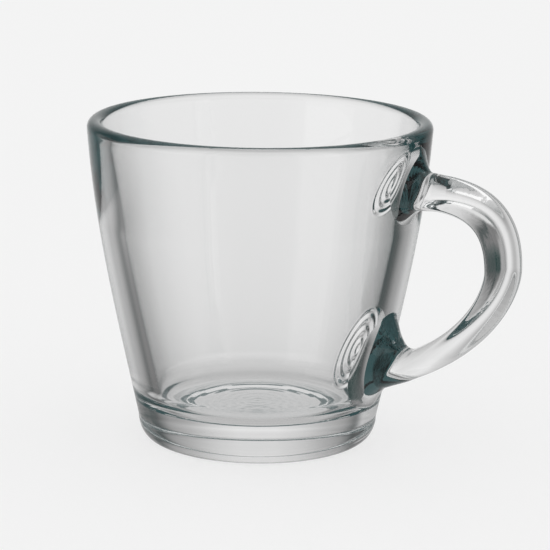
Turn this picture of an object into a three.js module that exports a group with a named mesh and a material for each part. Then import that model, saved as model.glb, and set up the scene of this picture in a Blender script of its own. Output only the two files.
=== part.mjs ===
// A clear glass cup with a loop handle: a thick pressed bowl and a handle fused on at two roots.
// Millimetres, +Z up. The foot stands on z = 0 and the handle points along +X.
import * as THREE from 'three';

// Bowl, outside
const CUP_HEIGHT = 85;
const RIM_DIAMETER = 90;
const RIM_FLARE = 0.066; // outward run of the wall per unit of rise, at the rim
const HEEL_FLARE = 0.218; // the same, just above the heel
const HEEL_DIAMETER = 63.2; // where the heel's round runs into the wall
const HEEL_HEIGHT = 6;
const FOOT_DIAMETER = 55; // outer edge of the flat ring that the cup stands on
const FOOT_RING_WIDTH = 4;
const RECESS_DEPTH = 1.2; // hollow under the foot, inside the ring
const RECESS_SLOPE_WIDTH = 5;

// Bowl, inside
const RIM_THICKNESS = 5.4; // the rim is a full round of this diameter
const UPPER_WALL_THICKNESS = 5.7; // just under the rim
const LOWER_WALL_THICKNESS = 6.8; // at the floor
const WALL_FADE = 8; // height below the rim over which the wall reaches its thickness
const FLOOR_THICKNESS = 10;
const FLOOR_CORNER_RADIUS = 9;

// Handle, measured in its own plane
const UPPER_ROOT_HEIGHT = 70.8;
const UPPER_ROOT_SLOPE = -12; // degrees, going out from the wall
const UPPER_ROOT_RUN = 7; // how far the root's slope is held
const LOWER_ROOT_HEIGHT = 20.5;
const LOWER_ROOT_SLOPE = 19.9;
const LOWER_ROOT_RUN = 33.5;
const HANDLE_REACH = 69.6; // cup's axis to the middle of the loop's outermost section
const HANDLE_CROWN_HEIGHT = 52.6; // height of that section
const CROWN_RISE = 21; // how far the loop's outermost stretch stays upright, above and below
const CROWN_DROP = 3;
const GRIP_WIDTH = 11.6; // across the handle's plane
const UPPER_DEPTH = 10.1; // in the handle's plane, at the upper root
const CROWN_DEPTH = 8.7;
const LOWER_DEPTH = 6.8;
const FACE_POWER = 3.5; // 2 is an ellipse, more flattens the faces square to the handle's plane
const ROUND_SHARE = 0.25; // share of the loop over which the round at a root turns into flat faces

// Roots
const ROOT_FLARE = 4.4; // how far a root spreads past the handle's section
const ROOT_LENGTH = 3.5; // distance from the wall over which it spreads
const ROOT_CURVE = 1.8; // the higher, the closer the spread keeps to the wall
const UPPER_LEAN = 0.3; // how much higher and longer a root's upper corner is, as a share
const LOWER_LEAN = 1.6;
const WELD_GAP = 0.3; // clearance between the two solids

// Fineness of the meshes
const TURN_STEPS = 72;
const WALL_STEPS = 12;
const ROUND_STEPS = 4;
const SECTION_STEPS = 32;
const ROOT_STEPS = 7;
const LOOP_STEPS = 26;

const rimRadius = RIM_DIAMETER / 2;
const rimRound = RIM_THICKNESS / 2;
const wallTop = CUP_HEIGHT - rimRound;
const wallRise = wallTop - HEEL_HEIGHT;

// Outer radius of the wall: a cubic that leaves the heel and meets the rim at the two flares.
function outerRadius(z) {
  const t = (z - HEEL_HEIGHT) / wallRise;
  const heel = HEEL_DIAMETER / 2;
  const nearHeel = heel + (HEEL_FLARE * wallRise) / 3;
  const nearRim = rimRadius - (RIM_FLARE * wallRise) / 3;
  const s = 1 - t;
  return heel * s ** 3 + 3 * nearHeel * t * s ** 2 + 3 * nearRim * t ** 2 * s + rimRadius * t ** 3;
}

function wallSlope(z) {
  const step = 0.01;
  return (outerRadius(z + step) - outerRadius(z - step)) / (2 * step);
}

function innerRadius(z) {
  const depth = THREE.MathUtils.smoothstep(wallTop - z, 0, WALL_FADE);
  const down = (wallTop - z) / (wallTop - FLOOR_THICKNESS);
  const full = THREE.MathUtils.lerp(UPPER_WALL_THICKNESS, LOWER_WALL_THICKNESS, down);
  return outerRadius(z) - THREE.MathUtils.lerp(RIM_THICKNESS, full, depth);
}

// Points of an elliptic arc between two angles, in degrees.
function arc(centre, radiusX, radiusY, from, to, steps) {
  const turn = THREE.MathUtils.degToRad;
  const curve = new THREE.EllipseCurve(
    centre.x, centre.y, radiusX, radiusY, turn(from), turn(to), to < from);
  return curve.getPoints(steps);
}

// The bowl's half section, from the middle of the underside round to the middle of the floor.
function bowlProfile() {
  const footRadius = FOOT_DIAMETER / 2;
  const ringRadius = footRadius - FOOT_RING_WIDTH;
  const heelRadius = HEEL_DIAMETER / 2;
  const cornerTop = FLOOR_THICKNESS + FLOOR_CORNER_RADIUS;
  const cornerRadius = innerRadius(cornerTop);
  const floorRadius = cornerRadius - FLOOR_CORNER_RADIUS;
  const recess = new THREE.CubicBezierCurve(
    new THREE.Vector2(ringRadius - RECESS_SLOPE_WIDTH, RECESS_DEPTH),
    new THREE.Vector2(ringRadius - RECESS_SLOPE_WIDTH / 2, RECESS_DEPTH),
    new THREE.Vector2(ringRadius - RECESS_SLOPE_WIDTH / 2, 0),
    new THREE.Vector2(ringRadius, 0));
  const points = [new THREE.Vector2(0, RECESS_DEPTH), ...recess.getPoints(ROUND_STEPS)];
  points.push(...arc(new THREE.Vector2(footRadius, HEEL_HEIGHT),
    heelRadius - footRadius, HEEL_HEIGHT, -90, 0, ROUND_STEPS));
  for (let i = 1; i < WALL_STEPS; i += 1) {
    const z = HEEL_HEIGHT + (wallRise * i) / WALL_STEPS;
    points.push(new THREE.Vector2(outerRadius(z), z));
  }
  points.push(...arc(new THREE.Vector2(rimRadius - rimRound, wallTop),
    rimRound, rimRound, 0, 180, 2 * ROUND_STEPS));
  for (let i = 1; i < WALL_STEPS; i += 1) {
    const z = wallTop - ((wallTop - cornerTop) * i) / WALL_STEPS;
    points.push(new THREE.Vector2(innerRadius(z), z));
  }
  points.push(...arc(new THREE.Vector2(floorRadius, cornerTop),
    FLOOR_CORNER_RADIUS, FLOOR_CORNER_RADIUS, 0, -90, ROUND_STEPS));
  points.push(new THREE.Vector2(0, FLOOR_THICKNESS));
  return points;
}

function bowlGeometry() {
  return new THREE.LatheGeometry(bowlProfile(), TURN_STEPS).rotateX(Math.PI / 2);
}

// The handle's route in its plane, as (distance from the cup's axis, height), upper root first.
function handleRoute() {
  const slope = (degrees) => new THREE.Vector2(1, 0).rotateAround(
    new THREE.Vector2(), THREE.MathUtils.degToRad(degrees));
  const upper = new THREE.Vector2(outerRadius(UPPER_ROOT_HEIGHT), UPPER_ROOT_HEIGHT);
  const lower = new THREE.Vector2(outerRadius(LOWER_ROOT_HEIGHT), LOWER_ROOT_HEIGHT);
  const crown = new THREE.Vector2(HANDLE_REACH, HANDLE_CROWN_HEIGHT);
  const route = new THREE.CurvePath();
  route.add(new THREE.CubicBezierCurve(
    upper,
    slope(UPPER_ROOT_SLOPE).multiplyScalar(UPPER_ROOT_RUN).add(upper),
    new THREE.Vector2(HANDLE_REACH, HANDLE_CROWN_HEIGHT + CROWN_RISE),
    crown));
  route.add(new THREE.CubicBezierCurve(
    crown,
    new THREE.Vector2(HANDLE_REACH, HANDLE_CROWN_HEIGHT - CROWN_DROP),
    slope(LOWER_ROOT_SLOPE).multiplyScalar(LOWER_ROOT_RUN).add(lower),
    lower));
  return route;
}

// Distance of a point from the wall's outer face, on the outside.
function wallGap(point) {
  const slope = wallSlope(point.z);
  return (Math.hypot(point.x, point.y) - outerRadius(point.z)) / Math.hypot(1, slope);
}

// Half the handle's depth at a share of its length, on a parabola through the three depths.
function halfDepth(share) {
  const upper = UPPER_DEPTH * (1 - share) * (1 - 2 * share);
  const crown = CROWN_DEPTH * 4 * share * (1 - share);
  const lower = LOWER_DEPTH * share * (2 * share - 1);
  return (upper + crown + lower) / 2;
}

// One point of the handle's section, as (in the plane, across it), for a section grown by spread.
function sectionPoint(index, share, spread) {
  const angle = (2 * Math.PI * index) / SECTION_STEPS;
  const fromRoot = THREE.MathUtils.smoothstep(Math.min(share, 1 - share), 0, ROUND_SHARE);
  const power = THREE.MathUtils.lerp(2, FACE_POWER, fromRoot);
  const depth = Math.sign(Math.cos(angle)) * Math.abs(Math.cos(angle)) ** (2 / power);
  return new THREE.Vector2(
    depth * (halfDepth(share) + spread),
    Math.sin(angle) * (GRIP_WIDTH / 2 + spread));
}

// A place on the route with its direction and the direction square to it, away from the loop's middle.
function station(route, share) {
  const point = route.getPointAt(share);
  const along = route.getTangentAt(share);
  return { share, point, along, out: new THREE.Vector2(-along.y, along.x) };
}

function sectionRing(place) {
  return Array.from({ length: SECTION_STEPS }, (_, index) => {
    const local = sectionPoint(index, place.share, 0);
    return new THREE.Vector3(
      place.point.x + place.out.x * local.x, local.y, place.point.y + place.out.y * local.x);
  });
}

// A ring at one distance from the wall: the flared section slid along the handle on to that distance.
function rootRing(place, gap, lean, upward, size) {
  const slideSteps = 12;
  return Array.from({ length: SECTION_STEPS }, (_, index) => {
    const towardCorner = (1 + upward * Math.cos((2 * Math.PI * index) / SECTION_STEPS)) / 2;
    const growth = 1 + lean * towardCorner ** 2;
    const taper = Math.max(0, 1 - gap / (ROOT_LENGTH * growth)) ** ROOT_CURVE;
    const spread = ROOT_FLARE * growth * taper;
    const local = sectionPoint(index, place.share, spread).multiplyScalar(size);
    const along = new THREE.Vector3(place.along.x, 0, place.along.y);
    const ringPoint = new THREE.Vector3(
      place.point.x + place.out.x * local.x, local.y, place.point.y + place.out.y * local.x);
    const facing = Math.sign(place.along.x);
    for (let step = 0; step < slideSteps; step += 1) {
      ringPoint.addScaledVector(along, facing * (gap - wallGap(ringPoint)));
    }
    return ringPoint;
  });
}

// The share of the route, counted from one end, at which it stands a given distance from the wall.
function shareAtGap(route, gap, fromUpper) {
  let near = 0;
  let far = 0.25;
  const halvings = 40;
  for (let i = 0; i < halvings; i += 1) {
    const middle = (near + far) / 2;
    const point = route.getPointAt(fromUpper ? middle : 1 - middle);
    if (wallGap(new THREE.Vector3(point.x, 0, point.y)) < gap) {
      near = middle;
    } else {
      far = middle;
    }
  }
  return fromUpper ? near : 1 - near;
}

// Distance from the wall at which a root has run into the plain loop.
function rootReach(lean) {
  return ROOT_LENGTH * (1 + lean);
}

// Rings of one root, from the weld outwards.
function rootRings(route, fromUpper) {
  const lean = fromUpper ? UPPER_LEAN : LOWER_LEAN;
  const upward = fromUpper ? 1 : -1; // the section's outer side is its upper one at the upper root only
  const rings = [];
  for (let i = 0; i <= ROOT_STEPS; i += 1) {
    const gap = WELD_GAP + (rootReach(lean) - WELD_GAP) * (i / ROOT_STEPS) ** 2;
    const place = station(route, shareAtGap(route, gap, fromUpper));
    if (i === 0) {
      rings.push(rootRing(place, gap, lean, upward, 0.5));
    }
    rings.push(rootRing(place, gap, lean, upward, 1));
  }
  return rings;
}

function handleGeometry() {
  const route = handleRoute();
  const upperRings = rootRings(route, true);
  const lowerRings = rootRings(route, false).reverse();
  const from = shareAtGap(route, rootReach(UPPER_LEAN) + UPPER_DEPTH / 3, true);
  const to = shareAtGap(route, rootReach(LOWER_LEAN) + LOWER_DEPTH / 3, false);
  const loopRings = Array.from({ length: LOOP_STEPS }, (_, i) => {
    const share = from + ((to - from) * i) / (LOOP_STEPS - 1);
    return sectionRing(station(route, share));
  });
  const rings = [...upperRings, ...loopRings, ...lowerRings];
  const points = rings.flat();
  const middle = (ring) => ring.reduce((sum, p) => sum.add(p), new THREE.Vector3()).divideScalar(ring.length);
  const firstCap = points.push(middle(rings[0])) - 1;
  const lastCap = points.push(middle(rings[rings.length - 1])) - 1;
  const triangles = [];
  for (let ring = 0; ring < rings.length - 1; ring += 1) {
    for (let i = 0; i < SECTION_STEPS; i += 1) {
      const next = (i + 1) % SECTION_STEPS;
      const a = ring * SECTION_STEPS + i;
      const b = ring * SECTION_STEPS + next;
      const c = a + SECTION_STEPS;
      const d = b + SECTION_STEPS;
      triangles.push(a, d, b, a, c, d);
    }
  }
  const lastRing = (rings.length - 1) * SECTION_STEPS;
  for (let i = 0; i < SECTION_STEPS; i += 1) {
    const next = (i + 1) % SECTION_STEPS;
    triangles.push(firstCap, i, next, lastCap, lastRing + next, lastRing + i);
  }
  const geometry = new THREE.BufferGeometry().setFromPoints(points);
  geometry.setIndex(triangles);
  return geometry;
}

// Clear soda-lime glass, faintly green, with a fire-polished surface.
function glass() {
  return new THREE.MeshStandardMaterial({ color: '#d5e4df', roughness: 0.05, metalness: 0 });
}

const bowl = new THREE.Mesh(bowlGeometry(), glass());
bowl.name = 'bowl';
const handle = new THREE.Mesh(handleGeometry(), glass());
handle.name = 'handle';

// The origin lies on the table under the middle of the cup's whole width, handle included.
const cup = new THREE.Group();
cup.add(bowl, handle);
cup.position.x = -(HANDLE_REACH + CROWN_DEPTH / 2 - rimRadius) / 2;

export default cup;
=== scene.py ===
"""A clear glass cup with a loop handle, dressed and lit as in its photograph."""
import logging
import math
from dataclasses import dataclass, field
from enum import Enum
from itertools import pairwise
from typing import Any

import bmesh
import bpy
from mathutils import Matrix, Vector, noise


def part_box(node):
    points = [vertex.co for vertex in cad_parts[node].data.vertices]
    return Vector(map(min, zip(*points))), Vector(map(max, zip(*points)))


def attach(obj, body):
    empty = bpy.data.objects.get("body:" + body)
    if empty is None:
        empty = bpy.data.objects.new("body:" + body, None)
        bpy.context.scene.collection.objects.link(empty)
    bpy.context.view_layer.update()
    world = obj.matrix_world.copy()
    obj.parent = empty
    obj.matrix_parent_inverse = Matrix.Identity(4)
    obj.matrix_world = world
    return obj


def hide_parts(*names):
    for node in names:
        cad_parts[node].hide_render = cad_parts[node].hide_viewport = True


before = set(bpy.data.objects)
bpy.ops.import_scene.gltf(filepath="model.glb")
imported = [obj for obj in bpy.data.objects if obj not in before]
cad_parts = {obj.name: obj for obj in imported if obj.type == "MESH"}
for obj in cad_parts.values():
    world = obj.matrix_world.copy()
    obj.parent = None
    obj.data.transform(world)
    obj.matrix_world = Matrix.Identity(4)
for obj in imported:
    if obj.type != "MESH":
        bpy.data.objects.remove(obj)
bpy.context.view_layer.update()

LOG = logging.getLogger("glass_cup")
MM = 0.001
SHARP_EDGE = math.radians(40.0)
WHITE = (1.0, 1.0, 1.0, 1.0)
Linear = tuple[float, float, float, float]
Span = tuple[float, float]
Socket = bpy.types.NodeSocket


class Root(Enum):
    """The two places where the handle is fused to the wall."""

    UPPER = "upper"
    LOWER = "lower"


class Measure(Enum):
    """What is known of a ray that leaves the glass."""

    RIGHT = "degrees to the right of the camera's view"
    LEFT = "degrees to the left of it"
    ASIDE = "degrees to either side of it"
    RISE = "rise, below zero toward the floor"
    STEEP = "rise or fall"
    OFF_GAP = "distance above or below the dark gap"
    MIRRORS = "number of glass faces met on the way"


Rays = dict[Measure, Socket]


def linear(code: str) -> Linear:
    """Turns an sRGB hex colour into linear values.

    Args:
        code: Six hex digits with a leading hash.

    Returns:
        Red, green, blue and an alpha of one.
    """
    def channel(value: float) -> float:
        """Returns the linear value of one sRGB channel."""
        return value / 12.92 if value <= 0.04045 else ((value + 0.055) / 1.055) ** 2.4

    red, green, blue = (channel(int(code[i:i + 2], 16) / 255) for i in (1, 3, 5))
    return red, green, blue, 1.0


def add_node(tree: bpy.types.NodeTree, kind: str, settings: dict[str, Any] | None = None,
             inputs: dict[str | int, Any] | None = None) -> bpy.types.Node:
    """Adds a node with its settings, its values and its incoming links.

    Args:
        tree: The tree that gets the node.
        kind: The node's type name.
        settings: Values by property name.
        inputs: By the name or number of an input, the socket that feeds it or its plain value.

    Returns:
        The new node.
    """
    node = tree.nodes.new(kind)
    for name, value in (settings or {}).items():
        setattr(node, name, value)
    for name, value in (inputs or {}).items():
        if isinstance(value, Socket):
            tree.links.new(value, node.inputs[name])
        else:
            node.inputs[name].default_value = value
    return node


def smoothstep(value: float, low: float, high: float) -> float:
    """Returns an eased share, from 0 at low to 1 at high."""
    share = min(1.0, max(0.0, (value - low) / (high - low)))
    return share * share * (3.0 - 2.0 * share)


def smooth(piece: bpy.types.Object) -> None:
    """Shades a piece smooth, but for its sharp edges.

    Args:
        piece: The object to shade.
    """
    bpy.ops.object.select_all(action="DESELECT")
    piece.select_set(True)
    bpy.context.view_layer.objects.active = piece
    bpy.ops.object.shade_smooth_by_angle(angle=SHARP_EDGE)


@dataclass(frozen=True)
class SodaLimeGlass:
    """Pressed and fire-polished soda-lime glass. Pitch and height of its grain in millimetres.

    Clear, with bright and dark bands where its faces bend or mirror the light of the room.
    """

    name: str
    tint: str = "#ffffff"
    ior: float = 1.52
    roughness: float = 0.0
    grain_pitch: float = 1.0
    grain_height: float = 0.0
    grain_detail: float = 4.0

    def make(self) -> bpy.types.Material:
        """Makes the glass, and its grain where it has one.

        Returns:
            The material.
        """
        material = bpy.data.materials.new(self.name)
        material.use_nodes = True
        tree = material.node_tree
        shader = tree.nodes["Principled BSDF"]
        shader.inputs["Base Color"].default_value = linear(self.tint)
        shader.inputs["Transmission Weight"].default_value = 1.0
        shader.inputs["Roughness"].default_value = self.roughness
        shader.inputs["IOR"].default_value = self.ior
        if self.grain_height:
            place = add_node(tree, "ShaderNodeTexCoord").outputs["Object"]
            grain = add_node(tree, "ShaderNodeTexNoise", inputs={
                "Vector": place, "Scale": 1 / (self.grain_pitch * MM), "Detail": self.grain_detail})
            bump = add_node(tree, "ShaderNodeBump", inputs={
                "Height": grain.outputs[0], "Strength": 1.0, "Distance": self.grain_height * MM})
            tree.links.new(bump.outputs["Normal"], shader.inputs["Normal"])
        return material


@dataclass(frozen=True)
class FusedWeld:
    """Glass run into glass: no surface is left there, so light goes straight on."""

    name: str = "fused_soda_lime_weld"

    def make(self) -> bpy.types.Material:
        """Makes the weld once for both pieces.

        Returns:
            The material.
        """
        material = bpy.data.materials.get(self.name)
        if material is None:
            material = bpy.data.materials.new(self.name)
            material.use_nodes = True
            tree = material.node_tree
            clear = add_node(tree, "ShaderNodeBsdfTransparent")
            tree.links.new(clear.outputs[0], tree.nodes["Material Output"].inputs["Surface"])
        return material


@dataclass(frozen=True)
class MattFloor:
    """A matt white table. Part of its brightness is its own glow, so the cup's shadow on it stays faint."""

    name: str = "matt_white_floor"
    colour: str = "#808080"
    glow: float = 0.685

    def make(self) -> bpy.types.Material:
        """Makes the floor's finish.

        Returns:
            The material.
        """
        material = bpy.data.materials.new(self.name)
        material.use_nodes = True
        shader = material.node_tree.nodes["Principled BSDF"]
        shader.inputs["Base Color"].default_value = linear(self.colour)
        shader.inputs["Roughness"].default_value = 1.0
        shader.inputs["Specular IOR Level"].default_value = 0.0
        shader.inputs["Emission Color"].default_value = WHITE
        shader.inputs["Emission Strength"].default_value = self.glow
        return material


@dataclass(frozen=True)
class SoftShadow:
    """The cup's shadow as the glass shows it: deep under the cup and fading with distance, in millimetres."""

    name: str = "soft_floor_shadow"
    reach: float = 15.75
    depth: float = 0.35

    def make(self) -> bpy.types.Material:
        """Makes the shadow, a clear sheet that takes some of the light.

        Returns:
            The material.
        """
        material = bpy.data.materials.new(self.name)
        material.use_nodes = True
        tree = material.node_tree
        place = add_node(tree, "ShaderNodeTexCoord").outputs["Object"]
        away = add_node(tree, "ShaderNodeVectorMath", {"operation": "LENGTH"}, {0: place})
        loss = add_node(tree, "ShaderNodeMath", {"operation": "DIVIDE"},
                        {0: self.reach * MM, 1: away.outputs["Value"]})
        most = add_node(tree, "ShaderNodeMath", {"operation": "MINIMUM"}, {0: loss.outputs[0], 1: self.depth})
        level = add_node(tree, "ShaderNodeMath", {"operation": "SUBTRACT"}, {0: 1.0, 1: most.outputs[0]})
        clear = add_node(tree, "ShaderNodeBsdfTransparent", inputs={"Color": level.outputs[0]})
        tree.links.new(clear.outputs[0], tree.nodes["Material Output"].inputs["Surface"])
        return material


@dataclass(frozen=True)
class RingMark:
    """A mark of fine rings that the hot root left in the inner wall. Sizes in millimetres."""

    height: float
    aside: float
    half_width: float
    half_height: float
    lean: float
    rings: float = 3.2
    ripple: float = 0.21
    fade: Span = (0.9, 1.1)

    def reach(self, across: float, height: float) -> float:
        """Returns the distance from the mark's middle, 1 being its outermost ring."""
        up = height - self.height
        return math.hypot((across - self.aside - self.lean * up) / self.half_width, up / self.half_height)

    def rise(self, across: float, height: float) -> float:
        """Returns how far the mark stands in from the wall at a place, below zero in a ring's hollow."""
        out = self.reach(across, height)
        return self.ripple * math.cos(2 * math.pi * self.rings * out) * (1 - smoothstep(out, *self.fade))


@dataclass
class Bowl:
    """The pressed bowl, as a profile turned about the cup's axis. Sizes in millimetres."""

    axis_x: float
    height: float = 85.0
    rim_radius: float = 45.0
    rim_flare: float = 0.066
    heel_flare: float = 0.218
    heel_radius: float = 31.6
    heel_height: float = 6.0
    foot_radius: float = 27.5
    foot_ring_width: float = 4.0
    recess_depth: float = 1.2
    recess_slope_width: float = 5.0
    rim_thickness: float = 4.2
    upper_wall_thickness: float = 5.7
    lower_wall_thickness: float = 6.8
    rim_taper: float = 24.0
    rim_taper_power: float = 1.6
    floor_thickness: float = 10.0
    floor_corner_radius: float = 5.5
    floor_ripple: float = 0.018
    floor_ripple_pitch: float = 2.2
    floor_ripple_radius: float = 25.0
    marks: tuple[RingMark, ...] = (
        RingMark(73.0, -5.2, 5.4, 7.4, 0.45),
        RingMark(29.9, -6.5, 5.4, 10.3, 0.18))
    mark_margin: float = 1.25
    mark_cuts: int = 4
    rim_clearance: float = 2.0
    corner_clearance: float = 1.0
    turn_steps: int = 240
    recess_steps: int = 10
    outer_steps: int = 48
    wall_steps: int = 70
    round_steps: int = 14
    corner_steps: int = 32
    floor_steps: int = 56
    merge_distance: float = 0.002
    piece: bpy.types.Object | None = None

    @property
    def wall_top(self) -> float:
        """Height at which the rim's round begins."""
        return self.height - self.rim_thickness / 2

    @property
    def corner_top(self) -> float:
        """Height at which the floor's corner runs into the inner wall."""
        return self.floor_thickness + self.floor_corner_radius

    def outer_radius(self, height: float) -> float:
        """Follows the outer wall, a curve that leaves the heel and meets the rim at set flares.

        Args:
            height: Height above the table.

        Returns:
            The outer radius.
        """
        rise = self.wall_top - self.heel_height
        t = (height - self.heel_height) / rise
        s = 1.0 - t
        near_heel = self.heel_radius + self.heel_flare * rise / 3
        near_rim = self.rim_radius - self.rim_flare * rise / 3
        return (self.heel_radius * s ** 3 + 3 * near_heel * t * s ** 2
                + 3 * near_rim * t ** 2 * s + self.rim_radius * t ** 3)

    def outer_slope(self, height: float) -> float:
        """Returns how far the outer wall runs out per unit of rise."""
        step = 0.01
        return (self.outer_radius(height + step) - self.outer_radius(height - step)) / (2 * step)

    def inner_radius(self, height: float) -> float:
        """Follows the inner wall, clear of the ring marks. The wall thins toward the rim.

        Args:
            height: Height above the table.

        Returns:
            The inner radius.
        """
        left = max(0.0, 1.0 - max(0.0, self.wall_top - height) / self.rim_taper)
        depth = 1.0 - left ** self.rim_taper_power
        down = (self.wall_top - height) / (self.wall_top - self.floor_thickness)
        full = self.upper_wall_thickness + down * (self.lower_wall_thickness - self.upper_wall_thickness)
        return self.outer_radius(height) - self.rim_thickness - depth * (full - self.rim_thickness)

    def ripple(self, radius: float) -> float:
        """Follows the fine rings that the plunger left on the floor.

        Args:
            radius: Distance from the axis.

        Returns:
            The height above or below the plain floor.
        """
        wave = math.cos(2 * math.pi * radius / self.floor_ripple_pitch)
        inside = smoothstep(self.floor_ripple_radius - radius, 0.0, self.floor_ripple_pitch)
        return self.floor_ripple * wave * inside

    def profile(self) -> list[tuple[float, float]]:
        """Draws the half section, from the underside's middle to the floor's.

        Returns:
            Points (radius, height).
        """
        ring = self.foot_radius - self.foot_ring_width
        slope_start = ring - self.recess_slope_width
        points = [(slope_start * i / self.recess_steps, self.recess_depth) for i in range(self.recess_steps)]
        for i in range(self.round_steps + 1):
            share = i / self.round_steps
            points.append((slope_start + self.recess_slope_width * share,
                           self.recess_depth * (1 - smoothstep(share, 0.0, 1.0))))
        points.append(((ring + self.foot_radius) / 2, 0.0))
        heel_run = self.heel_radius - self.foot_radius
        for i in range(self.round_steps + 1):
            angle = math.pi / 2 * i / self.round_steps
            points.append((self.foot_radius + heel_run * math.sin(angle),
                           self.heel_height * (1 - math.cos(angle))))
        for i in range(1, self.outer_steps):
            z = self.heel_height + (self.wall_top - self.heel_height) * i / self.outer_steps
            points.append((self.outer_radius(z), z))
        bead = self.rim_thickness / 2
        for i in range(2 * self.round_steps + 1):
            angle = math.pi * i / (2 * self.round_steps)
            points.append((self.rim_radius - bead + bead * math.cos(angle),
                           self.wall_top + bead * math.sin(angle)))
        for i in range(1, self.wall_steps):
            z = self.wall_top - (self.wall_top - self.corner_top) * i / self.wall_steps
            points.append((self.inner_radius(z), z))
        floor_radius = self.inner_radius(self.corner_top) - self.floor_corner_radius
        for i in range(self.corner_steps + 1):
            angle = math.pi / 2 * i / self.corner_steps
            radius = floor_radius + self.floor_corner_radius * math.cos(angle)
            drop = self.floor_corner_radius * math.sin(angle)
            points.append((radius, self.corner_top - drop + self.ripple(radius)))
        for i in range(1, self.floor_steps + 1):
            radius = floor_radius * (1 - i / self.floor_steps)
            points.append((radius, self.floor_thickness + self.ripple(radius)))
        return points

    def build(self) -> bpy.types.Object:
        """Turns the profile and lays the ring marks on the inner wall.

        Returns:
            The bowl's object.
        """
        centre = (self.axis_x * MM, 0.0, 0.0)
        bpy.ops.object.select_all(action="DESELECT")
        bpy.ops.mesh.primitive_plane_add(size=10 * MM, location=centre)
        self.piece = bpy.context.object
        self.piece.name = "glass_bowl"
        bpy.ops.object.transform_apply(location=True, rotation=True, scale=True)
        bpy.ops.object.mode_set(mode="EDIT")
        bpy.ops.mesh.select_all(action="SELECT")
        bpy.ops.mesh.merge(type="CENTER")
        bpy.ops.mesh.select_all(action="SELECT")
        points = self.profile()
        bpy.ops.transform.translate(value=(points[0][0] * MM, 0.0, points[0][1] * MM))
        for (r0, z0), (r1, z1) in pairwise(points):
            bpy.ops.mesh.extrude_vertices_move(
                TRANSFORM_OT_translate={"value": ((r1 - r0) * MM, 0.0, (z1 - z0) * MM)})
        bpy.ops.mesh.select_all(action="SELECT")
        bpy.ops.mesh.spin(steps=self.turn_steps, angle=2 * math.pi, center=centre, axis=(0.0, 0.0, 1.0))
        bpy.ops.mesh.select_all(action="SELECT")
        bpy.ops.mesh.remove_doubles(threshold=self.merge_distance * MM)
        bpy.ops.mesh.normals_make_consistent(inside=False)
        self.refine()
        bpy.ops.object.mode_set(mode="OBJECT")
        self.lay_marks()
        return self.piece

    def on_inner_wall(self, place: Vector) -> Span | None:
        """Tells where on the inner wall a place of the mesh lies.

        Args:
            place: A point of the mesh.

        Returns:
            Its distance from the handle's plane along the wall and its height, or None elsewhere.
        """
        x, y, z = place.x / MM - self.axis_x, place.y / MM, place.z / MM
        if not self.corner_top <= z < self.wall_top:
            return None
        if math.hypot(x, y) > self.inner_radius(z) + self.rim_thickness / 2:
            return None
        return math.atan2(y, x) * self.inner_radius(z), z

    def refine(self) -> None:
        """Cuts the faces under the ring marks finer."""
        bpy.ops.mesh.select_mode(type="FACE")
        bpy.ops.mesh.select_all(action="DESELECT")
        mesh = bmesh.from_edit_mesh(self.piece.data)
        for face in mesh.faces:
            spot = self.on_inner_wall(face.calc_center_median())
            marked = spot is not None and any(mark.reach(*spot) < self.mark_margin for mark in self.marks)
            face.select_set(marked)
        bmesh.update_edit_mesh(self.piece.data)
        bpy.ops.mesh.subdivide(number_cuts=self.mark_cuts)
        bpy.ops.mesh.select_mode(type="VERT")

    def lay_marks(self) -> None:
        """Moves the inner wall in and out along the rings of the marks."""
        for vertex in self.piece.data.vertices:
            spot = self.on_inner_wall(vertex.co)
            if spot is None:
                continue
            across, z = spot
            below_rim = smoothstep(self.wall_top - z, 0.0, self.rim_clearance)
            above_corner = smoothstep(z - self.corner_top, 0.0, self.corner_clearance)
            rise = below_rim * above_corner * sum(mark.rise(across, z) for mark in self.marks)
            radius = self.inner_radius(z) - rise
            turn = across / self.inner_radius(z)
            vertex.co.x = (self.axis_x + radius * math.cos(turn)) * MM
            vertex.co.y = radius * math.sin(turn) * MM

    def let_in(self, handle: bpy.types.Object) -> None:
        """Cuts a shallow seat for each of the handle's ends into the wall's outer face.

        Args:
            handle: The handle's object.
        """
        bpy.ops.object.select_all(action="DESELECT")
        self.piece.select_set(True)
        bpy.context.view_layer.objects.active = self.piece
        bpy.ops.object.modifier_add(type="BOOLEAN")
        seat = self.piece.modifiers[-1]
        seat.operation = "DIFFERENCE"
        seat.solver = "EXACT"
        seat.object = handle
        bpy.ops.object.modifier_apply(modifier=seat.name)

    def dress(self, glass: SodaLimeGlass, weld: FusedWeld) -> None:
        """Gives the bowl its glass and its place in the frame.

        Args:
            glass: The bowl's finish.
            weld: What is left of the surface where the handle is fused on.
        """
        self.piece.data.materials.append(glass.make())
        self.piece.data.materials.append(weld.make())
        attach(self.piece, "root")
        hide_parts("bowl")
        LOG.info("bowl: %d faces", len(self.piece.data.polygons))


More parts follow.
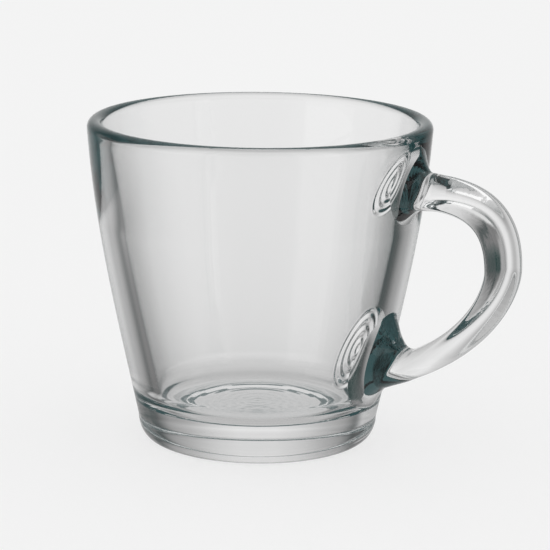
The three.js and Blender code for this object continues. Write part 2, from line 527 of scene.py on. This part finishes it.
@dataclass
class Handle:
    """The glass loop and its two flared roots. Sizes in millimetres, in the handle's own plane.

    Places along the loop are shares of its length, from 0 at the upper root to 1 at the lower.
    """

    bowl: Bowl
    upper_height: float = 70.8
    upper_slope: float = -12.0
    upper_run: float = 7.0
    lower_height: float = 20.5
    lower_slope: float = 19.9
    lower_run: float = 33.5
    reach: float = 69.6
    crown_height: float = 52.6
    crown_rise: float = 21.0
    crown_drop: float = 3.0
    width: float = 11.6
    grip_width: float = 10.6
    upper_depth: float = 10.1
    crown_depth: float = 8.7
    lower_depth: float = 6.8
    outer_power: float = 2.6
    finger_power: float = 6.0
    finger_share: float = 0.75
    draft: float = 0.25
    upper_squaring: Span = (0.0, 0.12)
    lower_squaring: Span = (0.05, 0.5)
    pressing: Span = (0.05, 0.09)
    root_flare: float = 4.4
    root_length: float = 3.5
    root_curve: float = 1.8
    upper_lean: float = 0.3
    lower_lean: float = 1.6
    root_stretch: float = 0.25
    loop_clearance: float = 1 / 3
    weld_depth: float = 0.3
    weld_margin: float = 0.02
    seam_height: float = 0.1
    crest_sink: float = 0.01
    grain_height: float = 0.012
    grain_pitch: float = 0.9
    grain_edge: float = 0.2
    finger_facing: float = 0.55
    arc_steps: int = 400
    search_steps: int = 40
    slide_steps: int = 12
    section_steps: int = 120
    root_steps: int = 24
    end_steps: int = 4
    loop_steps: int = 320
    merge_distance: float = 0.0005
    route: list[Vector] = field(default_factory=list)
    lengths: list[float] = field(default_factory=list)
    piece: bpy.types.Object | None = None

    def trace(self) -> None:
        """Lays the loop's middle line, upper root first, as points (distance from the axis, height)."""
        def on_wall(height: float) -> Vector:
            """Returns the point of the wall's outer face at a height."""
            return Vector((self.bowl.outer_radius(height), height))

        def slope(degrees: float) -> Vector:
            """Returns the direction that rises at an angle."""
            return Vector((math.cos(math.radians(degrees)), math.sin(math.radians(degrees))))

        upper = on_wall(self.upper_height)
        lower = on_wall(self.lower_height)
        crown = Vector((self.reach, self.crown_height))
        above, below = crown + Vector((0, self.crown_rise)), crown - Vector((0, self.crown_drop))
        arcs = [(upper, upper + slope(self.upper_slope) * self.upper_run, above, crown),
                (crown, below, lower + slope(self.lower_slope) * self.lower_run, lower)]
        for a, b, c, d in arcs:
            for i in range(self.arc_steps):
                t = i / self.arc_steps
                s = 1 - t
                self.route.append(a * s ** 3 + 3 * b * t * s ** 2 + 3 * c * t ** 2 * s + d * t ** 3)
        self.route.append(lower)
        self.lengths = [0.0]
        for near, far in pairwise(self.route):
            self.lengths.append(self.lengths[-1] + (far - near).length)

    def station(self, share: float) -> tuple[Vector, Vector]:
        """Finds a place on the middle line.

        Args:
            share: Place along the loop.

        Returns:
            The point and the line's direction there.
        """
        wanted = min(max(share, 0.0), 1.0) * self.lengths[-1]
        low, high = 0, len(self.lengths) - 2
        while low < high:
            middle = (low + high + 1) // 2
            if self.lengths[middle] <= wanted:
                low = middle
            else:
                high = middle - 1
        span = self.lengths[low + 1] - self.lengths[low]
        along = self.route[low + 1] - self.route[low]
        return self.route[low] + along * ((wanted - self.lengths[low]) / span), along.normalized()

    def wall_gap(self, point: Vector) -> float:
        """Returns a point's distance outside the wall's outer face."""
        steep = self.bowl.outer_slope(point.z)
        return (math.hypot(point.x, point.y) - self.bowl.outer_radius(point.z)) / math.hypot(1.0, steep)

    def share_at_gap(self, gap: float, root: Root) -> float:
        """Searches a root for the place where the line stands a given distance from the wall.

        Args:
            gap: Distance from the wall, below zero inside it.
            root: Which root.

        Returns:
            The place along the loop.
        """
        near, far = 0.0, self.root_stretch
        for _ in range(self.search_steps):
            middle = (near + far) / 2
            point, _ = self.station(middle if root is Root.UPPER else 1 - middle)
            if self.wall_gap(Vector((point.x, 0.0, point.y))) < gap:
                near = middle
            else:
                far = middle
        return near if root is Root.UPPER else 1 - near

    def half_depth(self, share: float) -> float:
        """Returns half the loop's depth in its plane, at a place along the loop."""
        return (self.upper_depth * (1 - share) * (1 - 2 * share)
                + self.crown_depth * 4 * share * (1 - share)
                + self.lower_depth * share * (2 * share - 1)) / 2

    def section(self, share: float, spread: list[float]) -> list[Vector]:
        """Draws one section: round at the roots, a keystone with a flat finger face where it is pressed.

        The first point is the crest of the mould seam, the others lie a little lower.

        Args:
            share: Place along the loop.
            spread: How far each point stands outside the plain section.

        Returns:
            Points (distance from the axis, across, height).
        """
        point, along = self.station(share)
        out = Vector((-along.y, along.x))
        square = smoothstep(share, *self.upper_squaring) * smoothstep(1 - share, *self.lower_squaring)
        pressed = smoothstep(min(share, 1 - share), *self.pressing)
        half_width = (self.width + (self.grip_width - self.width) * square) / 2
        ring = []
        for i, extra in enumerate(spread):
            angle = 2 * math.pi * i / self.section_steps
            c, s = math.cos(angle), math.sin(angle)
            power = 2.0 + square * ((self.outer_power if c > 0 else self.finger_power) - 2.0)
            bulge = (abs(c) ** power + abs(s) ** power) ** (-1 / power)
            lift, side = c * bulge, s * bulge
            deep = 1.0 if c > 0 else 1.0 - square * (1.0 - self.finger_share)
            sunk = pressed * self.seam_height if i else self.crest_sink
            depth = lift * (self.half_depth(share) * deep + extra - sunk)
            keystone = 1.0 - square * self.draft * lift * deep / self.finger_share
            across = side * (half_width * keystone + extra)
            place = Vector((point.x + out.x * depth, across, point.y + out.y * depth))
            grain = self.grain_height * noise.noise(place / self.grain_pitch)
            rough = pressed * smoothstep(-c, 0.0, self.grain_edge) * grain
            ring.append(place + Vector((out.x, 0.0, out.y)) * rough)
        return ring

    def root_ring(self, gap: float, root: Root, size: float = 1.0) -> list[Vector]:
        """Draws a flared section, slid along the loop until it stands a given distance from the wall.

        Args:
            gap: Distance from the wall, below zero inside it.
            root: Which root.
            size: Share of the section's full size.

        Returns:
            The ring's points.
        """
        share = self.share_at_gap(gap, root)
        lean, upward = (self.upper_lean, 1.0) if root is Root.UPPER else (self.lower_lean, -1.0)
        spread = []
        for i in range(self.section_steps):
            corner = (1 + upward * math.cos(2 * math.pi * i / self.section_steps)) / 2
            growth = 1 + lean * corner ** 2
            taper = max(0.0, 1 - gap / (self.root_length * growth)) ** self.root_curve
            spread.append(self.root_flare * growth * taper)
        ring = self.section(share, spread)
        middle, along = self.station(share)
        middle = Vector((middle.x, 0.0, middle.y))
        slide = Vector((along.x, 0.0, along.y)) * math.copysign(1.0, along.x)
        for point in ring:
            point[:] = middle.lerp(point, size)
            for _ in range(self.slide_steps):
                point += slide * (gap - self.wall_gap(point))
        return ring

    def rings(self) -> list[list[Vector]]:
        """Draws all sections in order, from the upper root to the lower.

        Returns:
            The rings of points.
        """
        steps = [(i / self.root_steps) ** 2 for i in range(self.root_steps + 1)]
        ends = [i / self.end_steps for i in range(1, self.end_steps + 1)]
        upper_reach = self.root_length * (1 + self.upper_lean)
        lower_reach = self.root_length * (1 + self.lower_lean)
        start = self.share_at_gap(upper_reach + self.upper_depth * self.loop_clearance, Root.UPPER)
        end = self.share_at_gap(lower_reach + self.lower_depth * self.loop_clearance, Root.LOWER)
        plain = [0.0] * self.section_steps
        loop = [self.section(start + (end - start) * i / (self.loop_steps - 1), plain)
                for i in range(self.loop_steps)]
        upper = [self.root_ring(-self.weld_depth, Root.UPPER, size) for size in ends]
        upper += [self.root_ring(upper_reach * step, Root.UPPER) for step in steps]
        lower = [self.root_ring(lower_reach * step, Root.LOWER) for step in reversed(steps)]
        lower += [self.root_ring(-self.weld_depth, Root.LOWER, size) for size in reversed(ends)]
        return [*upper, *loop, *lower]

    def build(self) -> bpy.types.Object:
        """Extrudes the loop ring by ring from a circle and closes its ends inside the wall.

        Returns:
            The handle's object.
        """
        rings = self.rings()
        bpy.ops.object.select_all(action="DESELECT")
        bpy.ops.mesh.primitive_circle_add(
            vertices=self.section_steps, radius=self.width * MM / 2, fill_type="NGON")
        self.piece = bpy.context.object
        self.piece.name = "glass_handle"
        bpy.ops.object.mode_set(mode="EDIT")
        bpy.ops.mesh.select_all(action="SELECT")
        mesh = bmesh.from_edit_mesh(self.piece.data)
        for number, ring in enumerate(rings):
            if number:
                bpy.ops.mesh.extrude_region_move()
            chosen = [vertex for vertex in mesh.verts if vertex.select]
            for vertex, point in zip(chosen, ring):
                vertex.co = ((point.x + self.bowl.axis_x) * MM, point.y * MM, point.z * MM)
        bpy.ops.mesh.select_all(action="SELECT")
        bpy.ops.mesh.remove_doubles(threshold=self.merge_distance * MM)
        bpy.ops.mesh.normals_make_consistent(inside=False)
        bpy.ops.object.mode_set(mode="OBJECT")
        return self.piece

    def dress(self, glass: SodaLimeGlass, weld: FusedWeld, finger: SodaLimeGlass) -> None:
        """Gives the handle its glass and its place in the frame.

        Args:
            glass: The handle's finish.
            weld: What is left of the surface where the handle is fused on.
            finger: The finish of the face under the fingers.
        """
        for finish in (glass, weld, finger):
            self.piece.data.materials.append(finish.make())
        wall = self.bowl.outer_radius(self.crown_height)
        eye = Vector(((self.reach + wall) / 2, 0.0, (self.upper_height + self.lower_height) / 2))
        for face in self.piece.data.polygons:
            middle = face.center / MM - Vector((self.bowl.axis_x, 0.0, 0.0))
            gap = self.wall_gap(middle)
            inward = (eye - middle).normalized().dot(face.normal)
            if gap < -self.weld_margin:
                face.material_index = 1
            elif gap > self.root_length and inward > self.finger_facing:
                face.material_index = 2
        smooth(self.piece)
        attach(self.piece, "root")
        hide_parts("handle")
        LOG.info("handle: %d faces", len(self.piece.data.polygons))


@dataclass(frozen=True)
class Edge:
    """A soft edge in the room.

    A level eases from first to last while a measure of the ray goes from start to end.
    """

    measure: Measure
    start: float
    end: float
    first: float = 0.0
    last: float = 1.0


@dataclass(frozen=True)
class LightPanel:
    """An upright light panel beside the cup, seen by the glass but not by the floor. Sizes in millimetres.

    The azimuth is in degrees to the right of the camera, seen from the cup. A strength of 1 is white.
    """

    name: str
    azimuth: float
    width: float
    strength: float
    distance: float = 900.0
    low: float = -100.0
    high: float = 1100.0

    def stand(self, facing: Matrix, deep: Edge) -> None:
        """Stands the panel up, its light fading for rays that were mirrored many times.

        Args:
            facing: The cup's axis, turned so that -Y looks at the camera.
            deep: Where rays count as mirrored many times.
        """
        bpy.ops.object.select_all(action="DESELECT")
        bpy.ops.mesh.primitive_plane_add(size=1.0)
        panel = bpy.context.object
        panel.name = self.name
        turn = math.radians(self.azimuth)
        place = Matrix.Translation((self.distance * MM * math.sin(turn), -self.distance * MM * math.cos(turn),
                                    (self.low + self.high) / 2 * MM))
        upright = Matrix.Rotation(turn, 4, "Z") @ Matrix.Rotation(math.pi / 2, 4, "X")
        size = Matrix.Diagonal((self.width * MM, (self.high - self.low) * MM, 1.0, 1.0))
        panel.matrix_world = facing @ place @ upright @ size
        material = bpy.data.materials.new(self.name)
        material.use_nodes = True
        tree = material.node_tree
        mirrors = add_node(tree, "ShaderNodeLightPath").outputs["Ray Depth"]
        fade = add_node(tree, "ShaderNodeMapRange", inputs={
            "Value": mirrors, "From Min": deep.start, "From Max": deep.end,
            "To Min": self.strength, "To Max": 0.0})
        light = add_node(tree, "ShaderNodeEmission", inputs={"Strength": fade.outputs[0]})
        tree.links.new(light.outputs[0], tree.nodes["Material Output"].inputs["Surface"])
        panel.data.materials.append(material)
        panel.visible_camera = False
        panel.visible_diffuse = False
        panel.visible_shadow = False


@dataclass
class Studio:
    """A pale floor under soft light, with upright light panels, and the camera. Sizes in millimetres.

    The glass sees a bright backdrop that darkens to both sides, a dark gap on the right, a softbox on
    the left, a grey front, and a pale ceiling and table. Rays mirrored many times take on the deep tone
    of thick glass. Levels are linear, 1 being white.
    """

    axis_x: float
    handle_turn: float = 28.0
    frame_pixels: float = 550.0
    focal_pixels: float = 2648.0
    axis_pixel: Span = (258.7, 279.5)
    sensor_width: float = 36.0
    distance: float = 697.5
    elevation: float = 13.185
    roll: float = 0.553
    target_height: float = 42.0
    floor_half: float = 3000.0
    floor_drop: float = 0.02
    shadow_drop: float = 0.01
    backdrop: tuple[tuple[float, str], ...] = (
        (0.0, "#f0f0f0"), (6.0, "#f0f0f0"), (14.0, "#e2e2e2"), (24.0, "#c4c4c4"), (34.0, "#aaaaaa"),
        (44.0, "#606464"), (58.0, "#2c4644"))
    horizon: Edge = Edge(Measure.RISE, -0.1, 0.15, 1.0, 0.8)
    right_loss: tuple[Edge, ...] = (
        Edge(Measure.RIGHT, 6.0, 28.0, 0.0, 0.2), Edge(Measure.RISE, 0.05, -0.15))
    gap_rise: float = -0.22
    around_gap: tuple[Edge, ...] = (Edge(Measure.RIGHT, 48.0, 54.0), Edge(Measure.OFF_GAP, 0.08, 0.35))
    around_gap_level: float = 0.18
    front: tuple[Edge, ...] = (Edge(Measure.ASIDE, 72.0, 95.0), Edge(Measure.RISE, 0.5, 0.1))
    front_level: float = 0.38
    left: tuple[Edge, ...] = (Edge(Measure.LEFT, 40.0, 50.0), Edge(Measure.LEFT, 172.0, 140.0))
    softbox: tuple[Edge, ...] = (
        Edge(Measure.RISE, -0.42, -0.25, 0.25, 0.62), Edge(Measure.RISE, 0.3, 0.12, 0.2))
    left_front: tuple[Edge, ...] = (Edge(Measure.LEFT, 60.0, 85.0, 0.0, 0.62),)
    steep: tuple[Edge, ...] = (Edge(Measure.STEEP, 0.5, 0.75),)
    steep_level: float = 0.75
    deep: Edge = Edge(Measure.MIRRORS, 6.0, 10.0)
    deep_tone: str = "#324e50"
    panels: tuple[LightPanel, ...] = (
        LightPanel("right_light_panel", 46.5, 170.0, 0.75),
        LightPanel("left_light_panel", -56.0, 690.0, 1.0))
    most_bounces: int = 32
    most_clear_faces: int = 64

    def facing(self) -> Matrix:
        """Returns the place of the cup's axis, turned so that -Y looks at the camera."""
        turn = Matrix.Rotation(math.radians(self.handle_turn), 4, "Z")
        return Matrix.Translation((self.axis_x * MM, 0.0, 0.0)) @ turn

    def camera(self) -> None:
        """Puts the camera where the photograph was taken from."""
        lens = bpy.data.cameras.new("camera")
        lens.sensor_width = self.sensor_width
        lens.lens = self.focal_pixels / self.frame_pixels * self.sensor_width
        lens.shift_x = (self.frame_pixels / 2 - self.axis_pixel[0]) / self.frame_pixels
        lens.shift_y = (self.axis_pixel[1] - self.frame_pixels / 2) / self.frame_pixels
        eye = bpy.data.objects.new("camera", lens)
        bpy.context.collection.objects.link(eye)
        tilt = math.radians(self.elevation)
        place = Matrix.Translation((0.0, -self.distance * math.cos(tilt) * MM,
                                    (self.target_height + self.distance * math.sin(tilt)) * MM))
        turn = Matrix.Rotation(math.pi / 2 - tilt, 4, "X") @ Matrix.Rotation(math.radians(self.roll), 4, "Z")
        eye.matrix_world = self.facing() @ place @ turn
        bpy.context.scene.camera = eye

    def floor(self) -> None:
        """Lays the pale matt floor that the cup stands on. The glass sees the room's own floor instead."""
        bpy.ops.object.select_all(action="DESELECT")
        bpy.ops.mesh.primitive_plane_add(
            size=2 * self.floor_half * MM, location=(0.0, 0.0, -self.floor_drop * MM))
        floor = bpy.context.object
        floor.name = "floor"
        floor.data.materials.append(MattFloor().make())
        floor.visible_transmission = False
        floor.visible_glossy = False

    def shade(self) -> None:
        """Lays the cup's faint shadow on the floor, as it is seen through the glass."""
        bpy.ops.object.select_all(action="DESELECT")
        bpy.ops.mesh.primitive_plane_add(
            size=self.floor_half * MM, location=(self.axis_x * MM, 0.0, -self.shadow_drop * MM))
        shade = bpy.context.object
        shade.name = "floor_shadow"
        shade.data.materials.append(SoftShadow().make())
        shade.visible_camera = False
        shade.visible_diffuse = False
        shade.visible_shadow = False

    def rays(self, tree: bpy.types.NodeTree) -> Rays:
        """Measures the rays that reach the room.

        Args:
            tree: The world's nodes.

        Returns:
            The socket of each measure.
        """
        ray = add_node(tree, "ShaderNodeTexCoord").outputs["Generated"]
        right, away, rise = (
            add_node(tree, "ShaderNodeVectorMath", {"operation": "DOT_PRODUCT"},
                     {0: ray, 1: axis}).outputs["Value"]
            for axis in self.facing().to_3x3().col)
        turn = add_node(tree, "ShaderNodeMath", {"operation": "ARCTAN2"}, {0: right, 1: away})
        degrees = add_node(tree, "ShaderNodeMath", {"operation": "DEGREES"}, {0: turn.outputs[0]})
        left = add_node(tree, "ShaderNodeMath", {"operation": "MULTIPLY"}, {0: degrees.outputs[0], 1: -1.0})
        aside = add_node(tree, "ShaderNodeMath", {"operation": "ABSOLUTE"}, {0: degrees.outputs[0]})
        steep = add_node(tree, "ShaderNodeMath", {"operation": "ABSOLUTE"}, {0: rise})
        above_gap = add_node(tree, "ShaderNodeMath", {"operation": "SUBTRACT"}, {0: rise, 1: self.gap_rise})
        off_gap = add_node(tree, "ShaderNodeMath", {"operation": "ABSOLUTE"}, {0: above_gap.outputs[0]})
        return {
            Measure.RIGHT: degrees.outputs[0], Measure.LEFT: left.outputs[0], Measure.ASIDE: aside.outputs[0],
            Measure.RISE: rise, Measure.STEEP: steep.outputs[0], Measure.OFF_GAP: off_gap.outputs[0],
            Measure.MIRRORS: add_node(tree, "ShaderNodeLightPath").outputs["Ray Depth"]}

    def level(self, tree: bpy.types.NodeTree, rays: Rays, *edges: Edge) -> Socket:
        """Multiplies the levels of soft edges.

        Args:
            tree: The world's nodes.
            rays: The socket of each measure.
            edges: The edges.

        Returns:
            The socket of the product.
        """
        product: Socket | float = 1.0
        for edge in edges:
            eased = add_node(tree, "ShaderNodeMapRange", {"interpolation_type": "SMOOTHSTEP"}, {
                "Value": rays[edge.measure], "From Min": edge.start, "From Max": edge.end,
                "To Min": edge.first, "To Max": edge.last})
            times = add_node(tree, "ShaderNodeMath", {"operation": "MULTIPLY"},
                             {0: product, 1: eased.outputs[0]})
            product = times.outputs[0]
        return product

    def sides(self, tree: bpy.types.NodeTree, rays: Rays) -> Socket:
        """Draws the backdrop, bright in the middle and dark at both sides, dimmer above the horizon.

        Args:
            tree: The world's nodes.
            rays: The socket of each measure.

        Returns:
            The socket of the colour.
        """
        half_turn = 180.0
        share = add_node(tree, "ShaderNodeMath", {"operation": "DIVIDE"},
                         {0: rays[Measure.ASIDE], 1: half_turn})
        ramp = add_node(tree, "ShaderNodeValToRGB", inputs={"Fac": share.outputs[0]})
        stops = ramp.color_ramp.elements
        while len(stops) < len(self.backdrop):
            stops.new(1.0)
        for stop, (angle, tone) in zip(stops, self.backdrop):
            stop.position = angle / half_turn
            stop.color = linear(tone)
        loss = self.level(tree, rays, *self.right_loss)
        kept = add_node(tree, "ShaderNodeMath", {"operation": "SUBTRACT"}, {0: 1.0, 1: loss})
        dim = add_node(tree, "ShaderNodeMath", {"operation": "MULTIPLY"},
                       {0: self.level(tree, rays, self.horizon), 1: kept.outputs[0]})
        colour = add_node(tree, "ShaderNodeVectorMath", {"operation": "SCALE"},
                          {0: ramp.outputs["Color"], "Scale": dim.outputs[0]})
        return colour.outputs[0]

    def world(self) -> None:
        """Lights the floor evenly, and lays the room that the glass sees zone over zone."""
        world = bpy.data.worlds.new("studio")
        bpy.context.scene.world = world
        world.use_nodes = True
        tree = world.node_tree
        rays = self.rays(tree)
        room = self.sides(tree, rays)
        left_tone = add_node(tree, "ShaderNodeMath", {"operation": "MAXIMUM"}, {
            0: self.level(tree, rays, *self.softbox), 1: self.level(tree, rays, *self.left_front)})
        around_gap, front, steep = (
            (grey, grey, grey, 1.0) for grey in (self.around_gap_level, self.front_level, self.steep_level))
        zones = [(self.around_gap, around_gap), (self.front, front), (self.left, left_tone.outputs[0]),
                 (self.steep, steep), ((self.deep,), linear(self.deep_tone))]
        for edges, tone in zones:
            cover = add_node(tree, "ShaderNodeMix", {"data_type": "RGBA"},
                             {0: self.level(tree, rays, *edges), 6: room, 7: tone})
            room = cover.outputs[2]
        path = add_node(tree, "ShaderNodeLightPath").outputs
        glass = add_node(tree, "ShaderNodeMath", {"operation": "MAXIMUM"},
                         {0: path["Is Glossy Ray"], 1: path["Is Transmission Ray"]})
        direct = add_node(tree, "ShaderNodeMath", {"operation": "LESS_THAN"},
                          {0: path["Diffuse Depth"], 1: 0.5})
        seen = add_node(tree, "ShaderNodeMath", {"operation": "MULTIPLY"},
                        {0: glass.outputs[0], 1: direct.outputs[0]})
        light = add_node(tree, "ShaderNodeMix", {"data_type": "RGBA"},
                         {0: seen.outputs[0], 6: WHITE, 7: room})
        tree.links.new(light.outputs[2], tree.nodes["Background"].inputs["Color"])

    def build(self) -> None:
        """Sets up the camera, the floor and the light."""
        self.camera()
        self.floor()
        self.shade()
        self.world()
        for panel in self.panels:
            panel.stand(self.facing(), self.deep)
        scene = bpy.context.scene
        scene.view_settings.view_transform = "Standard"
        scene.cycles.max_bounces = self.most_bounces
        scene.cycles.transmission_bounces = self.most_bounces
        scene.cycles.glossy_bounces = self.most_bounces
        scene.cycles.transparent_max_bounces = self.most_clear_faces
        LOG.info("studio: %d light panels", len(self.panels))


def main() -> None:
    """Builds the cup and its studio in order."""
    logging.basicConfig(level=logging.INFO, format="%(name)s %(message)s")
    low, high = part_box("bowl")
    axis_x = (low[0] + high[0]) / 2 / MM
    bowl = Bowl(axis_x)
    handle = Handle(bowl)
    handle.trace()
    bowl.build()
    handle.build()
    weld = FusedWeld()
    # The grain left by the mould is finer than this. It is drawn as coarse as it needs to show.
    finger = SodaLimeGlass("grained_soda_lime_finger_face", grain_pitch=1.3, grain_height=0.024)
    handle.dress(SodaLimeGlass("pressed_soda_lime_handle"), weld, finger)
    bowl.dress(SodaLimeGlass("pressed_soda_lime_bowl"), weld)
    bowl.let_in(handle.piece)
    smooth(bowl.piece)
    Studio(axis_x).build()


if __name__ == "__main__":
    main()
